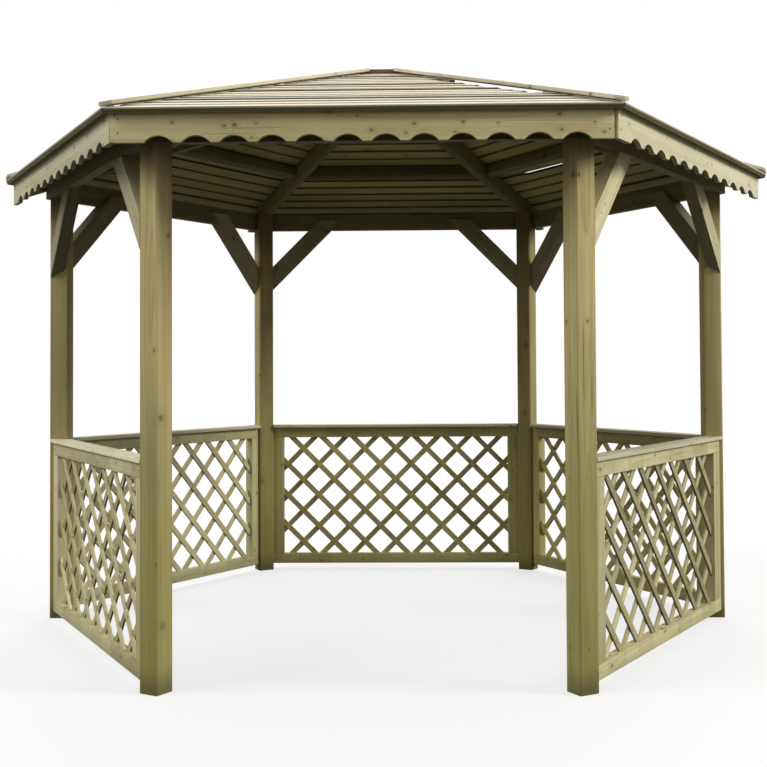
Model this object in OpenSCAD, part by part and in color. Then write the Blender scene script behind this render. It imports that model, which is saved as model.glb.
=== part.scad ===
// Hexagonal open garden gazebo in timber.
// Millimetres, +Z up, origin on the ground in the middle of the hexagon, entrance towards -Y.
// A side is drawn in its own frame: +X points outward through the middle of the side and Y runs along it.

/* [Layout] */
// Distance from the middle of the gazebo to the middle of each post
post_circle_r = 1564; // [1300:1:1800]
// Height of the underside of the header beams
header_z = 2015; // [1850:1:2300]
// Distance the fascia stands outward of the post line, measured square to a side
fascia_reach = 205; // [150:1:300]
// Height of the hip rafters' tops above the post tops, at the posts
rafter_over_post = 52; // [40:1:60]
// Slope of the roof, in degrees
pitch = 18; // [16:0.1:21]

/* [Posts] */
// Width of the square posts
post_side = 88; // [75:1:100]
// Width of the chamfer on the long edges of the posts
post_chamfer = 6; // [2:0.5:10]

/* [Header beams and braces] */
// Thickness of the header beams and of the purlins
beam_t = 45; // [38:1:50]
// Distance the outer face of the headers stands outward of the post line
header_reach = 67.5; // [60:0.5:75]
// Thickness of the braces
brace_t = 58; // [45:1:65]
// Distance the outer face of the braces stands outward of the post line
brace_reach = 57; // [45:1:60]
// Height of the header beams
header_h = 95; // [80:1:100]
// Width of the face of a knee brace
brace_w = 92; // [60:1:100]
// Height below the header at which the lower edge of a brace meets the post
brace_drop = 352; // [250:1:400]
// Height that the inner part of a brace laps up behind the header
brace_lap = 58; // [40:1:75]

/* [Panels] */
// Height of the underside of the panels above the ground
panel_lift = 36; // [20:1:80]
// Height of the top of the capping rails above the ground
panel_top = 855; // [700:1:1000]
// Thickness of the panel frames
panel_t = 45; // [38:1:50]
// Distance the outer face of the panels stands outward of the post line
panel_reach = 44; // [30:1:55]
// Width of the panel stiles
stile_w = 65; // [45:1:75]
// Height of the top rail of a panel
top_rail_h = 58; // [40:1:75]
// Height of the bottom rail of a panel
bottom_rail_h = 57; // [40:1:75]
// Width of the capping rails
cap_w = 90; // [75:1:110]
// Thickness of the capping rails
cap_t = 17; // [14:1:28]
// Distance the outer edge of the capping rails stands outward of the post line
cap_reach = 58; // [56:1:65]
// Width of a lattice lath
lath_w = 30; // [20:1:40]
// Thickness of a lattice lath
lath_t = 9; // [6:1:12]
// Distance between neighbouring crossings along the lattice
lath_step = 183; // [150:1:220]

/* [Roof] */
// Thickness of the boarding
board_t = 20; // [16:1:24]
// Distance the boarding overhangs the face of the fascia
drip = 34; // [20:1:45]
// Width of the hip rafters
rafter_w = 48; // [38:1:60]
// Depth of the hip rafters, square to their length
rafter_h = 80; // [65:1:95]
// Distance from the middle of the gazebo to the purlins
purlin_at = 900; // [700:1:1000]
// Depth of the purlins, square to the slope
purlin_h = 56; // [45:1:70]
// Distance across the flats of the king block
king_w = 110; // [100:1:140]
// Height of the king block
king_h = 105; // [90:1:130]
// Corner radius of the apex cap
apex_r = 184; // [160:1:220]
// Thickness of the apex cap and of the hip strips
cover_t = 20; // [15:1:25]
// Width of the hip strips
hip_strip_w = 64; // [50:1:80]

/* [Fascia] */
// Height of the lower edge of the fascias below the header's underside
fascia_drop = 27; // [0:1:40]
// Thickness of the fascias
fascia_t = 20; // [16:1:25]
// Distance between neighbouring scallops
scallop_step = 135; // [110:1:160]
// Width of a scallop at the lower edge
scallop_w = 103; // [80:1:105]
// Depth of a scallop
scallop_d = 25; // [15:1:30]
// Least straight length kept at each end of a row of scallops
scallop_land = 100; // [50:1:150]
// Distance a row of scallops stands off the middle of its fascia
scallop_shift = 15; // [0:1:30]
// Length missing from the right end of the entrance fascia
short_end = 14; // [0:1:20]

/* [Fits] */
// Gap left at each mitred end of the boarding and the fascias
mitre_gap = 1; // [0.5:0.5:3]
// Gap between the hip strips and the apex cap
cap_gap = 1; // [0.5:0.5:3]

/* [Hidden] */
POSTS = ["right", "back_right", "back_left", "left", "front_left", "front_right"];
SIDES = ["back_right", "back", "back_left", "front_left", "front", "front_right"];
FRONT = 4;
PANELLED = [for (i = [0:5]) if (i != FRONT) i];
FASCIAED = [3, 4, 5];                       // the entrance and the sides next to it

$fn = 64;
over = 50;                                  // how far cutting shapes run past what they cut
apothem = post_circle_r * cos(30);          // middle of the gazebo to the post line
header_out = apothem + header_reach;        // outer face of the headers
header_in = header_out - beam_t;
brace_out = apothem + brace_reach;          // outer face of the braces
panel_out = apothem + panel_reach;          // outer face of the panels
cap_out = apothem + cap_reach;              // outer edge of the capping rails
post_top = header_z + header_h;
fascia_a = apothem + fascia_reach;          // outer face of the fascias
eave_a = fascia_a + drip;                   // lower edge of the roof
eave_r = eave_a / cos(30);
board_v = board_t / cos(pitch);             // boarding measured plumb
hip_slope = atan(tan(pitch) * cos(30));     // slope along a hip
rafter_v = rafter_h / cos(hip_slope);
rafter_sink = rafter_w / 2 * sin(30) * tan(pitch);
eave_z = post_top + rafter_over_post + rafter_sink + board_v - (eave_a - apothem) * tan(pitch);
apex_a = apex_r * cos(30);
cap_z = roof_z(apex_a);                     // underside of the apex cap
king_r = king_w / 2;

// Height of the roof's surface, and of the boarding's underside, at a distance square to a side
function roof_z(a) = eave_z + (eave_a - a) * tan(pitch);
function under_z(a) = roof_z(a) - board_v;

// Height of the top of a hip rafter at a distance from the middle of the gazebo
function rafter_z(r) = under_z(r * cos(30)) - rafter_sink;

// Distance from the middle of the gazebo at which the top of a hip rafter has a given height
function rafter_r(z) = eave_r - (z + board_v + rafter_sink - eave_z) / tan(hip_slope);

// Half the length of a side, up to the hip line and up to the posts' faces, at a distance from the middle
function to_hip(a) = a * tan(30);
function to_post(a) = (post_circle_r - post_side / cos(30)) / 2 + (a - apothem) * tan(30);

// Turns what is drawn in a side's own frame to side number i, or a post's to post number i
module at_side(i) rotate([0, 0, 30 + 60 * i]) children();
module at_post(i) rotate([0, 0, 60 * i]) children();

// Plan of a piece that ends on the posts' faces, or on the hip lines less a gap
module between_posts(a0, a1)
    polygon([[a0, -to_post(a0)], [a1, -to_post(a1)], [a1, to_post(a1)], [a0, to_post(a0)]]);
module between_hips(a0, a1, gap = 0) {
    trim = gap / cos(30);
    polygon([
        [a0, trim - to_hip(a0)], [a1, trim - to_hip(a1)],
        [a1, to_hip(a1) - trim], [a0, to_hip(a0) - trim],
    ]);
}

// A profile with points [distance from the middle, height], run along Y over a given length
module run(points, length)
    translate([0, length / 2, 0]) rotate([90, 0, 0]) linear_extrude(length) polygon(points);

module header_bar()
    translate([0, 0, header_z]) linear_extrude(header_h) between_hips(header_in, header_out);

// Both knee braces of a side, between two distances from the middle, up to a height: boards set at
// 45 degrees and cut to the posts' faces
module brace_pair(a0, a1, top_z) {
    face = to_post(apothem);
    foot_z = header_z - brace_drop;
    rise = brace_w / cos(45);
    intersection() {
        for (s = [-1, 1])
            translate([a0, 0, 0]) rotate([90, 0, 90]) linear_extrude(a1 - a0) polygon([
                [s * (face + over), foot_z - over], [s * (face + over), foot_z + rise - over],
                [s * (face + foot_z + rise - top_z), top_z], [s * (face + foot_z - top_z), top_z],
            ]);
        linear_extrude(post_top) between_posts(a0, a1);
    }
}

module header(i) color("darkkhaki") at_side(i) header_bar();

// The pair of knee braces of a side, butting up under the header and lapping up behind it
module braces(i) color("darkkhaki") at_side(i) {
    brace_pair(brace_out - brace_t, brace_out, header_z);
    brace_pair(brace_out - brace_t, header_in, header_z + brace_lap);
}

module post(i) {
    half = post_side / 2;
    flat = half - post_chamfer;
    color("burlywood") difference() {
        at_post(i) translate([post_circle_r, 0, 0]) linear_extrude(post_top) polygon([
            [half, -flat], [half, flat], [flat, half], [-flat, half],
            [-half, flat], [-half, -flat], [-flat, -half], [flat, -half],
        ]);
        at_side(i) header_bar();
        at_side(i - 1) header_bar();
    }
}

// One layer of parallel laths, leaning by the sign of lean, in the plane of a panel. The crossings sit
// evenly about the middle of the opening.
module lath_layer(lean, width, z0, z1) {
    reach = ceil((width + z1 - z0) / lath_step);
    intersection() {
        for (k = [-reach:reach])
            translate([k * lath_step, (z0 + z1 + lath_step) / 2]) rotate(lean * 45)
                square([lath_w, 2 * (width + z1 - z0)], center = true);
        translate([-width / 2, z0]) square([width, z1 - z0]);
    }
}

module panel(i) {
    inner = panel_out - panel_t;
    lath_at = panel_out - panel_t / 2;
    rail_top = panel_top - cap_t;
    z0 = panel_lift + bottom_rail_h;
    z1 = rail_top - top_rail_h;
    clear = 2 * (to_post(inner) - stile_w);
    color("tan") at_side(i) union() {
        difference() {
            translate([0, 0, panel_lift]) linear_extrude(rail_top - panel_lift)
                between_posts(inner, panel_out);
            translate([inner - over, -clear / 2, z0]) cube([panel_t + 2 * over, clear, z1 - z0]);
        }
        for (lean = [-1, 1])
            translate([lath_at + (lean - 1) / 2 * lath_t, 0, 0]) rotate([90, 0, 90])
                linear_extrude(lath_t) lath_layer(lean, clear, z0, z1);
    }
}

module cap_rail(i)
    color("wheat") at_side(i) translate([0, 0, panel_top - cap_t]) linear_extrude(cap_t)
        between_posts(cap_out - cap_w, cap_out);

// One slope of the roof, cut plumb at the hips and level under the apex cap
module roof(i) {
    inner = apex_a - board_t / sin(pitch);
    color("olivedrab") at_side(i) intersection() {
        run([
            [inner, cap_z], [apex_a, cap_z], [eave_a, eave_z], [eave_a, under_z(eave_a)],
        ], 2 * eave_r);
        linear_extrude(2 * eave_z) between_hips(inner, eave_a, mitre_gap);
    }
}

module fascia(i) {
    inner = fascia_a - fascia_t;
    z0 = header_z - fascia_drop;
    arc_r = (pow(scallop_w / 2, 2) + pow(scallop_d, 2)) / (2 * scallop_d);
    last = floor((2 * to_hip(fascia_a) - 2 * scallop_land - scallop_w) / scallop_step);
    color("wheat") at_side(i) difference() {
        intersection() {
            run([
                [inner, z0], [fascia_a, z0], [fascia_a, under_z(fascia_a)], [inner, under_z(inner)],
            ], 2 * eave_r);
            linear_extrude(2 * eave_z) between_hips(inner, fascia_a, mitre_gap);
        }
        for (k = [0:last])
            translate([inner - 1, scallop_shift + (k - last / 2) * scallop_step, z0 + scallop_d - arc_r])
                rotate([0, 90, 0]) cylinder(r = arc_r, h = fascia_t + 2);
        if (i == FRONT)
            translate([inner - 1, to_hip(fascia_a) - short_end, z0 - 1])
                cube([2 * fascia_t, 2 * short_end, eave_z]);
    }
}

// Hip rafters run from the king block to the fascias' corners, with a level seat over posts and headers
module hip_rafters() {
    seat_in = rafter_r(post_top + rafter_v);
    seat_out = header_out / cos(30);
    tail = (fascia_a - fascia_t - rafter_w / 2 * sin(30)) / cos(30);
    color("darkkhaki") for (i = [0:5]) at_post(i) run([
        [king_r, rafter_z(king_r) - rafter_v], [seat_in, post_top], [seat_out, post_top],
        [seat_out, rafter_z(seat_out) - rafter_v], [tail, rafter_z(tail) - rafter_v],
        [tail, rafter_z(tail)], [rafter_r(cap_z), cap_z], [king_r, cap_z],
    ], rafter_w);
}

// Purlins lie flat under the boarding, between the hip rafters
module purlins() {
    dx = beam_t * cos(pitch);
    dz = beam_t * sin(pitch);
    down = [-purlin_h * sin(pitch), -purlin_h * cos(pitch)];
    top = [purlin_at, under_z(purlin_at)];
    low = top + [dx, -dz];
    color("darkkhaki") for (i = [0:5]) at_side(i) intersection() {
        run([top, low, low + down, top + down], 2 * eave_r);
        linear_extrude(2 * eave_z)
            between_hips(purlin_at - purlin_h, purlin_at + beam_t, rafter_w / 2);
    }
}

module king_block()
    color("darkkhaki") translate([0, 0, cap_z - king_h]) rotate(30)
        linear_extrude(king_h) circle(r = king_r / cos(30), $fn = 6);

// Hip strips cover the mitred ends of the boarding. Each is hollowed to sit on both slopes, and cut to the
// eaves at its foot and to the apex cap at its head.
module hip_strips() {
    rim = hip_strip_w / 2 * sin(30) * tan(pitch);
    ends = [apex_r / 2, eave_r];
    color("darkkhaki") for (i = [0:5]) difference() {
        intersection() {
            at_post(i) run([
                for (r = ends) [r, roof_z(r * cos(30)) - rim],
                for (r = [ends[1], ends[0]]) [r, roof_z(r * cos(30)) + cover_t],
            ], hip_strip_w);
            linear_extrude(2 * eave_z) circle(r = eave_r - mitre_gap, $fn = 6);
        }
        for (k = [i - 1, i]) at_side(k) run([
            [0, 0], [eave_a + over, 0], [eave_a + over, roof_z(eave_a + over)], [0, roof_z(0)],
        ], 2 * eave_r);
        linear_extrude(2 * eave_z) circle(r = apex_r + cap_gap, $fn = 6);
    }
}

module apex_cap()
    color("darkkhaki") translate([0, 0, cap_z]) linear_extrude(cover_t) circle(r = apex_r, $fn = 6);

for (i = [0:5]) {
    post(i);
    header(i);
    roof(i);
}
for (i = FASCIAED)
    fascia(i);
for (i = PANELLED) {
    braces(i);
    panel(i);
    cap_rail(i);
}
hip_rafters();
purlins();
king_block();
hip_strips();
apex_cap();
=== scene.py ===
# %% [markdown]
# # A hexagonal garden gazebo in treated softwood
# The gazebo is an open timber frame: six posts, a ring of headers, knee braces, lattice panels and a boarded
# roof with scalloped fascias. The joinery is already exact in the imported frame, so this lesson is about what
# a construction model leaves out: eased edges, grain that follows each timber, lapped boards, crossed laths,
# nail heads, and timber that has weathered.
#
# Everything is in metres. X and Y lie on the ground, Z points up, and the entrance faces -Y.

# %% Load the fixed frame
import math
import random

import bmesh
import bpy
from mathutils import Matrix, Vector


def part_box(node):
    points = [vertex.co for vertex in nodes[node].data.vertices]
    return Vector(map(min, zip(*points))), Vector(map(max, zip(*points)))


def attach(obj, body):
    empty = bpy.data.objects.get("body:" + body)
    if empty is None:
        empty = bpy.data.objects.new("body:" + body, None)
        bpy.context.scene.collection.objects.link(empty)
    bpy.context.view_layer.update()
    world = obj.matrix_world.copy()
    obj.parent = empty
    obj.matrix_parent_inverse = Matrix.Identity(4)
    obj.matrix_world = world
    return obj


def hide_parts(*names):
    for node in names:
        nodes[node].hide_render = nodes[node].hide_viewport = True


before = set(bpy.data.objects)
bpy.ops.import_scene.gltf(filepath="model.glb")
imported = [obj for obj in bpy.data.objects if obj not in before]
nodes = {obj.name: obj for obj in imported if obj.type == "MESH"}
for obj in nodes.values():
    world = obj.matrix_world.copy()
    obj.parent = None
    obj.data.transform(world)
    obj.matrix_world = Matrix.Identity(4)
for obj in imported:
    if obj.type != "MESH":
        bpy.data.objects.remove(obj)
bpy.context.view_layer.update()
scene = bpy.context.scene
print(len(nodes), "timbers and groups of timbers in the frame")

# %% [markdown]
# ## The layout
# Six sides repeat around the middle. A side is drawn in its own frame, where X points outward through the
# middle of the side and Y runs along it, and is then turned to its place. Sizes come from the frame's own
# boxes wherever a box gives them, so the looks stay tied to the construction.

# %% Sizes that the looks share
POSTS = ["right", "back_right", "back_left", "left", "front_left", "front_right"]
SIDES = ["back_right", "back", "back_left", "front_left", "front", "front_right"]
PANELLED = [i for i, side in enumerate(SIDES) if side != "front"]
UP = (0, 0, 1)
HALF_SIDE = math.radians(30)  # half the angle that one side takes up around the middle
PITCH = math.radians(18)
POST_RADIUS = 1.564
POST_SIDE = 0.088
POST_LINE = POST_RADIUS * math.cos(HALF_SIDE)
HIP_SLOPE = math.atan(math.tan(PITCH) * math.cos(HALF_SIDE))
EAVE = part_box("roof_back")[1].y
CAP_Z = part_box("apex_cap")[0].z
CAP_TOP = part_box("apex_cap")[1].z
PANEL_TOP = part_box("cap_rail_back")[1].z
CAP_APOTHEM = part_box("apex_cap")[1].y
EAVE_Z = CAP_Z - (EAVE - CAP_APOTHEM) * math.tan(PITCH)
FASCIA = -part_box("fascia_front")[0].y
FASCIA_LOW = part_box("fascia_front")[0].z
HEADER_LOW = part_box("header_back")[0].z
FASCIAED = [i for i, side in enumerate(SIDES) if "fascia_" + side in nodes]


def side_angle(i):
    """Where side number i faces, measured from +X."""
    return math.radians(30 + 60 * i)


def side_turn(i):
    """Turns what is drawn in a side's own frame to side number i."""
    return Matrix.Rotation(side_angle(i), 4, "Z")


def post_turn(i):
    """Turns what is drawn on +X to post number i."""
    return Matrix.Rotation(math.radians(60 * i), 4, "Z")


def to_post(a):
    """Half the length of a side up to the posts' faces, at a distance from the middle."""
    return (POST_RADIUS - POST_SIDE / math.cos(HALF_SIDE)) / 2 + (a - POST_LINE) * math.tan(HALF_SIDE)


def roof_z(a):
    """Height of the roof's top surface at a distance from the middle, measured square to a side."""
    return EAVE_Z + (EAVE - a) * math.tan(PITCH)


print(f"eaves {EAVE:.3f} m out and {EAVE_Z:.3f} m up, underside of the apex cap {CAP_Z:.3f} m up")

# %% [markdown]
# ## The camera
# It stands a little right of the middle of the entrance, under six metres away and at chest height, with
# almost no tilt, so that the underside of the roof shows. A small shift frames the gazebo without tilting.

# %% The camera
EYE = Vector((0.2690, -5.7601, 1.1803))
YAW, TILT, ROLL = -0.0214, 0.0248, -0.0056
ahead = Vector((math.sin(YAW) * math.cos(TILT), math.cos(YAW) * math.cos(TILT), math.sin(TILT)))
across = Vector((math.cos(YAW), -math.sin(YAW), 0))
upward = across.cross(ahead)
rolled = across * math.cos(ROLL) + upward * math.sin(ROLL)
upward = upward * math.cos(ROLL) - across * math.sin(ROLL)
camera_data = bpy.data.cameras.new("entrance_camera")
camera_data.sensor_width = 36
camera_data.lens = 56.18
camera_data.shift_x = -0.0405
camera_data.shift_y = -0.0572
camera = bpy.data.objects.new("entrance_camera", camera_data)
camera.matrix_world = Matrix.Translation(EYE) @ Matrix((rolled, upward, -ahead)).transposed().to_4x4()
scene.collection.objects.link(camera)
scene.camera = camera
scene.view_settings.view_transform = "Standard"
print("camera", tuple(round(c, 3) for c in camera.location))

# %% [markdown]
# ## Sockets as numbers
# A finish or a Geometry Nodes rule is mostly arithmetic. Wrapping a socket in a small class lets that
# arithmetic be written as Python, so `rings * 0.3 + fibre` adds its own Math nodes. Every other node comes
# from one method, which takes the node's type, its settings and the values of its sockets.


# %% A socket that does arithmetic, and a maker of nodes
class Value:
    def __init__(self, maker, socket):
        self.maker, self.socket = maker, socket

    def __add__(self, other): return self.maker.math("ADD", self, other)
    def __sub__(self, other): return self.maker.math("SUBTRACT", self, other)
    def __rsub__(self, other): return self.maker.math("SUBTRACT", other, self)
    def __mul__(self, other): return self.maker.math("MULTIPLY", self, other)
    def __truediv__(self, other): return self.maker.math("DIVIDE", self, other)
    def __pow__(self, other): return self.maker.math("POWER", self, other)
    __radd__, __rmul__ = __add__, __mul__

    def ramp(self, low, high):
        """Rises smoothly from 0 at low to 1 at high, or falls where low is above high."""
        return self.maker.node("ShaderNodeMapRange", {"interpolation_type": "SMOOTHSTEP"},
                               {"Value": self, "From Min": low, "From Max": high})


class Maker:
    def __init__(self, tree):
        self.tree = tree

    def node(self, kind, settings=(), inputs=(), output=0):
        made = self.tree.nodes.new(kind)
        for name, value in dict(settings).items():
            setattr(made, name, value)
        for name, value in dict(inputs).items():
            self.join(value, made.inputs[name])
        return Value(self, made.outputs[output])

    def join(self, value, socket):
        if isinstance(value, Value):
            self.tree.links.new(value.socket, socket)
        else:
            socket.default_value = value

    def math(self, operation, *values):
        return self.node("ShaderNodeMath", {"operation": operation}, dict(enumerate(values)))

    def vector(self, x, y, z):
        return self.node("ShaderNodeCombineXYZ", (), {0: x, 1: y, 2: z})

    def parts(self, vector):
        return [self.node("ShaderNodeSeparateXYZ", (), {0: vector}, k) for k in range(3)]


# %% [markdown]
# ## Timber
# Each timber was sawn from its own tree, so its grain runs along it and its rings are its own. Every vertex
# carries `grain`, its place in the timber's own frame with X along the grain, and `tone`, one number for the
# whole timber: 0.5 is as the finish says, and higher is lighter. A solid pattern read from `grain` then runs
# round the corners and shows rings on the ends, as it does in real wood. A third attribute, `spliced`, is 1
# on rails that are glued up from short lengths.
#
# The pattern has layers: annual rings around a pith that lies near the board, bent around the knots; fibres;
# slow streaks; the green cast of treatment; and drying checks. Weather adds damp at the foot of a post and
# bleaches the roof boards on top. Light and shade are painted in too: green bounce light low on a post, the
# eaves' shadow on its top, shade on undersides, and shade on the roof boards' front edges and in their laps.

# %% Colours and sizes of the pattern
RING = 0.0062  # between annual rings
KNOT_CELL = (0.40, 0.10)  # one knot in each cell, along and across the grain
SPLICE = 0.17  # between the finger joints of a spliced rail
ROUGH, SHINE, RELIEF = 0.82, 0.14, 0.0012
GREEN_CAST = (0.20, 0.21, 0.10, 1)
KNOT_HALO = (0.17, 0.095, 0.042, 1)
KNOT_WOOD = (0.125, 0.072, 0.034, 1)
KNOT_EYE = (0.05, 0.028, 0.015, 1)
DEEP_CHECK = (0.035, 0.026, 0.016, 1)
# Painted green light bounced up from the grass, strongest low on a post
GRASS_BOUNCE_GREEN = (0.28, 0.262, 0.065, 1)
DAMP_FOOT = (0.105, 0.10, 0.045, 1)
# Painted shadow of the eaves and headers on the top of a post
EAVE_SHADOW_BROWN = (0.115, 0.085, 0.045, 1)
# Painted shade on faces that look down
UNDERSIDE_SHADE = (0.055, 0.047, 0.026, 1)
# Painted shade on the roof boards' front edges and in their laps
LAP_SHADE = (0.034, 0.029, 0.014, 1)


def noise(m, vector, scale, detail=2.0, roughness=0.5):
    """Noise from 0 to 1, with its own scale along each axis."""
    stretched = m.node("ShaderNodeVectorMath", {"operation": "MULTIPLY"}, {0: vector, 1: scale}, "Vector")
    return m.node("ShaderNodeTexNoise", {"noise_dimensions": "3D"}, {
        "Vector": stretched, "Scale": 1.0, "Detail": detail, "Roughness": roughness}, "Fac")


def mix(m, factor, first, second, blend="MIX"):
    """A mix of two colours."""
    made = m.node("ShaderNodeMix", {"data_type": "RGBA", "blend_type": blend}, {"Factor": factor}, 2)
    m.join(first, made.socket.node.inputs[6])
    m.join(second, made.socket.node.inputs[7])
    return made


def new_material(name):
    """A material with nodes, the maker of its nodes and its main surface."""
    material = bpy.data.materials.new(name)
    material.use_nodes = True
    return material, Maker(material.node_tree), material.node_tree.nodes["Principled BSDF"]


def read(m, name, output="Fac"):
    """An attribute of the mesh, in a material."""
    return m.node("ShaderNodeAttribute", {"attribute_name": name}, (), output)


def knot_distance(m, x, w, cell):
    """Distance from the nearest knot, in knots' own radii: one lies somewhere in each cell of a grid."""
    place = m.node("ShaderNodeTexVoronoi", {"voronoi_dimensions": "2D"}, {
        "Vector": m.vector(x / cell[0], w / cell[1], 0.0), "Scale": 1.0, "Randomness": 1.0}, "Position")
    luck = m.parts(Value(m, place.socket.node.outputs["Color"]))[0]
    vx, vy, _ = m.parts(place)
    kx = x - vx * cell[0]
    ky = w - vy * cell[1]
    reach = m.math("SQRT", kx * kx * 0.55 + ky * ky)
    return reach / ((luck ** 2.0) * cell[1] * 0.085 + 0.0024)


def splice_shade(m, x, shade):
    """Gives each short length of a spliced rail its own shade, with a dark line at the finger joint."""
    joints = read(m, "spliced")
    length = m.node("ShaderNodeTexVoronoi", {"voronoi_dimensions": "1D"},
                    {"W": x / SPLICE, "Scale": 1.0}, "Color")
    seam = m.node("ShaderNodeTexVoronoi", {"voronoi_dimensions": "1D", "feature": "DISTANCE_TO_EDGE"},
                  {"W": x / SPLICE, "Scale": 1.0}, "Distance")
    lengths = shade + (m.parts(length)[0] - 0.5) * 0.28 * joints
    return lengths * (1.0 - seam.ramp(0.012, 0.006) * 0.35 * joints)


def soiled_and_shaded(m, colour, patch, soil_and_shade):
    """Painted green bounce light towards the ground, real damp at the foot, and a painted eave shadow on the
    top.
    """
    height = m.parts(m.node("ShaderNodeTexCoord", (), (), "Object"))[2]
    # Painted green bounce light, fading out 1.5 m above the ground
    colour = mix(m, height.ramp(1.5, 0.1) * soil_and_shade * 0.85, colour, GRASS_BOUNCE_GREEN)
    damp = (height + (patch - 0.5) * 0.10).ramp(0.12, 0.0)
    colour = mix(m, damp * soil_and_shade, colour, DAMP_FOOT)
    # Painted shadow of the eaves on a post's top, from 1.82 m up
    return mix(m, height.ramp(1.82, 2.0) * soil_and_shade * 0.75, colour, EAVE_SHADOW_BROWN)


def lapped(m, colour, grain, bleached):
    """A roof board's bleached top, with painted shade on its front edge, along the lap on its underside, and
    at its upper edge under the next board.
    """
    across, upper = read(m, "across"), read(m, "upper")
    streak = noise(m, grain, (1.5, 40.0, 40.0), 3.0, 0.6)
    sunny = upper.ramp(0.55, 0.9)
    colour = mix(m, sunny * (1.0 - streak.ramp(0.35, 0.75) * 0.45), colour, bleached)
    # Painted shade on the lower part of a board's front edge
    front = across.ramp(0.035, 0.012) * upper.ramp(0.70, 0.30)
    # Painted shade along the lap on the underside, and at the upper edge under the next board
    back = m.math("MAXIMUM", across.ramp(0.42, 0.20) * (1.0 - sunny), across.ramp(0.975, 0.99))
    return mix(m, m.math("MAXIMUM", front, back) * 0.85, colour, LAP_SHADE)


def timber(name, pale, deep, cast=0.35, checks=0.4, soil_and_shade=0.0, knots=1.0, bleached=None, cell=KNOT_CELL,
           jointed=False, under=0.6):
    """A sawn softwood finish between a pale and a deep colour, with as much of each wear, and of each painted
    light and shade, as is given.
    """
    material, m, surface = new_material(name)
    grain, tone = read(m, "grain", "Vector"), read(m, "tone")
    x, y, z = m.parts(grain)

    # Knots are seen long on the edges
    near = knot_distance(m, x, y + z * 0.7, cell)
    knot = near.ramp(1.3, 0.75) * knots
    eye = near.ramp(0.6, 0.1)
    halo = near.ramp(4.0, 0.7)

    # Rings around the pith, pushed aside by the knots
    sway = noise(m, grain, (0.9, 6.0, 6.0), 2.0)
    radius = m.math("SQRT", y * y + z * z) + (sway - 0.5) * 0.034 + halo * 0.011
    ring = m.math("FRACT", radius / RING)
    ring = ring * ring * ring
    ring = ring * m.math("FRACT", radius / RING).ramp(1.0, 0.93)
    band = noise(m, grain, (0.7, 30.0, 30.0), 3.0, 0.55)
    fibre = noise(m, grain, (9.0, 420.0, 420.0), 2.0)
    patch = noise(m, grain, (1.1, 4.0, 4.0), 2.0)
    mottle = noise(m, grain, (5.0, 16.0, 16.0), 3.0, 0.6)
    split = noise(m, grain, (1.6, 75.0, 75.0), 1.0).ramp(0.66, 0.72) * patch.ramp(0.48, 0.62) * checks

    colour = mix(m, ring * 0.42 + band.ramp(0.3, 0.75) * 0.5 + (fibre - 0.5) * 0.22, pale, deep)
    colour = mix(m, patch.ramp(0.42, 0.72) * cast, colour, GREEN_CAST)
    shade = (tone - 0.5) * 0.34 + (mottle - 0.5) * 0.30 + 1.0
    if jointed:
        shade = splice_shade(m, x, shade)
    colour = mix(m, 1.0, colour, m.vector(shade, shade, shade), "MULTIPLY")
    colour = mix(m, halo * 0.18 * knots, colour, KNOT_HALO)
    colour = mix(m, knot * 0.55, colour, KNOT_WOOD)
    colour = mix(m, eye * knot * 0.4, colour, KNOT_EYE)
    colour = mix(m, split * 0.85, colour, DEEP_CHECK)
    if soil_and_shade:
        colour = soiled_and_shaded(m, colour, patch, soil_and_shade)
    # Painted shade on faces that look down, as strong as under says
    if under:
        rise = m.parts(m.node("ShaderNodeNewGeometry", (), (), "True Normal"))[2]
        colour = mix(m, rise.ramp(-0.08, -0.5) * under, colour, UNDERSIDE_SHADE)
    if bleached:
        colour = lapped(m, colour, grain, bleached)
    m.join(colour, surface.inputs["Base Color"])
    m.join((fibre - 0.5) * 0.12 + (ring * -0.1) + ROUGH, surface.inputs["Roughness"])
    surface.inputs["Specular IOR Level"].default_value = SHINE
    height = ring * 0.35 + fibre * 0.5 + knot * -0.6 + split * -3.0 + mottle * 0.8
    relief = m.node("ShaderNodeBump", (), {"Strength": 0.5, "Distance": RELIEF, "Height": height}, "Normal")
    m.join(relief, surface.inputs["Normal"])
    return material


def srgb(r, g, b):
    """A colour given as it is seen, from 0 to 255."""
    def linear(c):
        c /= 255
        return c / 12.92 if c <= 0.04045 else ((c + 0.055) / 1.055) ** 2.4
    return (linear(r), linear(g), linear(b), 1)


# %% [markdown]
# ## The finishes
# All are the same softwood. Headers and purlins are painted darker for the shade of the roof, rafters are
# greener, and the apex cap is painted dark for the shade on its face. The entrance fascia is a browner board
# than its neighbours. The back and back right panels are painted greener and deeper for the shade on their
# inner sides.

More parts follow.
